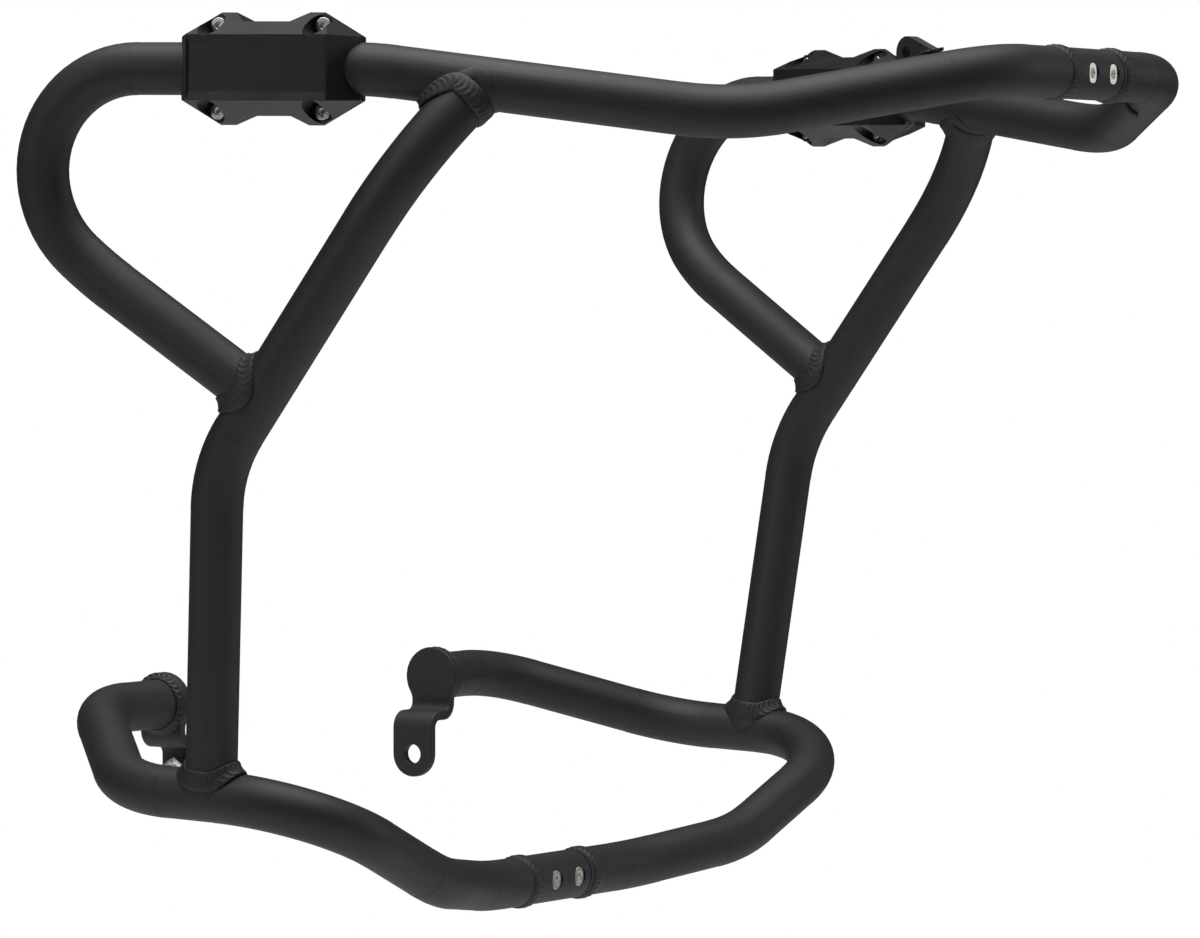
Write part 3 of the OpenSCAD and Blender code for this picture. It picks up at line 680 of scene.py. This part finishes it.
class CRASHBARS_OT_fasteners(bpy.types.Operator):
    """Finishes the screws, the nuts and the spacer"""

    bl_idname = "crash_bars.fasteners"
    bl_label = "Screws, nuts and spacer"

    def execute(self, context):
        edge = context.scene.crash_edges.screw_edge
        for side in SIDES:
            rounded_piece(f"{side}_clamp_screws", edge, "screw_steel", 2)
            rounded_piece(f"{side}_clamp_nuts", edge, "dark_steel", 2)
        for joint in ("upper", "lower"):
            rounded_piece(f"{joint}_joint_screws", edge, "screw_steel", 2)
        rounded_piece("right_bracket_spacer", edge, "bare_steel", 2)
        return {"FINISHED"}


def area_lamp(name, power, width, height, place):
    """A soft lamp, its size and place in metres, that looks at the part."""
    lamp = bpy.data.lights.new(name, "AREA")
    lamp.shape = "RECTANGLE"
    lamp.size = width
    lamp.size_y = height
    lamp.energy = power
    holder = bpy.data.objects.new(name, lamp)
    bpy.context.scene.collection.objects.link(holder)
    holder.location = place
    holder.rotation_euler = (Vector(LAMP_TARGET) - Vector(place)).to_track_quat("-Z", "Y").to_euler()


class CRASHBARS_OT_stage(bpy.types.Operator):
    """Sets the camera, the lamps, the white surroundings and the floor"""

    bl_idname = "crash_bars.stage"
    bl_label = "Stage"

    def execute(self, context):
        stage = context.scene.crash_stage
        self.add_camera(context.scene, stage)
        self.add_lamps(stage)
        self.add_world(context.scene, stage)
        self.add_floor(stage)
        context.scene.view_settings.view_transform = "Standard"
        return {"FINISHED"}

    def add_camera(self, scene, stage):
        camera = bpy.data.cameras.new("camera")
        camera.sensor_width = 36
        camera.lens = stage.lens
        camera.clip_end = 100
        holder = bpy.data.objects.new("camera", camera)
        scene.collection.objects.link(holder)
        heading, dip = stage.camera_heading, stage.camera_dip
        look = Vector((
            math.sin(heading) * math.cos(dip), math.cos(heading) * math.cos(dip), -math.sin(dip)))
        right = Vector((math.cos(heading), -math.sin(heading), 0))
        up = right.cross(look)
        turn = Matrix((right, up, -look)).transposed().to_4x4()
        holder.matrix_world = Matrix.Translation(stage.camera_place) @ turn
        scene.camera = holder

    def add_lamps(self, stage):
        area_lamp("lamp_overhead", stage.overhead_power, 2.6, 2.2, (-0.2, -0.3, 2.1))
        area_lamp("lamp_left", stage.left_power, 1.3, 1.3, (-2.4, 0.9, 1.0))
        area_lamp("lamp_right", stage.right_power, 1.2, 1.6, (2.2, -2.3, 0.7))

    def add_world(self, scene, stage):
        world = bpy.data.worlds.new("surroundings")
        scene.world = world
        tree = emptied_tree(world)
        output = tree.nodes.new("ShaderNodeOutputWorld")
        path = tree.nodes.new("ShaderNodeLightPath")
        seen = tree.nodes.new("ShaderNodeBackground")
        seen.inputs["Color"].default_value = (1, 1, 1, 1)
        seen.inputs["Strength"].default_value = 1
        lit = tree.nodes.new("ShaderNodeBackground")
        lit.inputs["Color"].default_value = (0.95, 0.97, 1, 1)
        lit.inputs["Strength"].default_value = stage.surroundings
        mix = tree.nodes.new("ShaderNodeMixShader")
        tree.links.new(path.outputs["Is Camera Ray"], mix.inputs["Fac"])
        tree.links.new(lit.outputs["Background"], mix.inputs[1])
        tree.links.new(seen.outputs["Background"], mix.inputs[2])
        tree.links.new(mix.outputs["Shader"], output.inputs["Surface"])

    def add_floor(self, stage):
        size = FLOOR_HALF
        low = CAD_BOUNDS[0][2] - stage.floor_drop
        mesh = bpy.data.meshes.new("floor")
        corners = [(-size, -size, low), (size, -size, low), (size, size, low), (-size, size, low)]
        mesh.from_pydata(corners, [], [(0, 1, 2, 3)])
        floor = bpy.data.objects.new("floor", mesh)
        bpy.context.scene.collection.objects.link(floor)
        material, _, shader, _ = new_surface("floor_pale")
        shader.inputs["Base Color"].default_value = (0.85, 0.85, 0.85, 1)
        shader.inputs["Roughness"].default_value = 0.9
        mesh.materials.append(material)


class CRASHBARS_PT_panel(bpy.types.Panel):
    """Lists the steps that build the crash bars' looks"""

    bl_idname = "CRASHBARS_PT_panel"
    bl_label = "Crash bars"
    bl_space_type = "VIEW_3D"
    bl_region_type = "UI"
    bl_category = "Crash bars"

    def draw(self, context):
        for operator in OPERATORS:
            self.layout.operator(operator.bl_idname)
        for group in ("crash_finish", "crash_welds", "crash_edges", "crash_stage"):
            settings = getattr(context.scene, group)
            box = self.layout.box()
            for key in settings.__annotations__:
                box.prop(settings, key)


SETTINGS = {
    "crash_finish": FinishSettings,
    "crash_welds": WeldSettings,
    "crash_edges": EdgeSettings,
    "crash_stage": StageSettings,
}
OPERATORS = (
    CRASHBARS_OT_stage,
    CRASHBARS_OT_tubes,
    CRASHBARS_OT_plates,
    CRASHBARS_OT_welds,
    CRASHBARS_OT_clamps,
    CRASHBARS_OT_fasteners,
)


def register():
    for group, settings in SETTINGS.items():
        bpy.utils.register_class(settings)
        setattr(bpy.types.Scene, group, PointerProperty(type=settings))
    for operator in OPERATORS:
        bpy.utils.register_class(operator)
    bpy.utils.register_class(CRASHBARS_PT_panel)


def unregister():
    bpy.utils.unregister_class(CRASHBARS_PT_panel)
    for operator in reversed(OPERATORS):
        bpy.utils.unregister_class(operator)
    for group, settings in reversed(SETTINGS.items()):
        delattr(bpy.types.Scene, group)
        bpy.utils.unregister_class(settings)


def main():
    register()
    bpy.ops.crash_bars.stage()
    bpy.ops.crash_bars.tubes()
    bpy.ops.crash_bars.plates()
    bpy.ops.crash_bars.welds()
    bpy.ops.crash_bars.clamps()
    bpy.ops.crash_bars.fasteners()


if __name__ == "__main__":
    main()
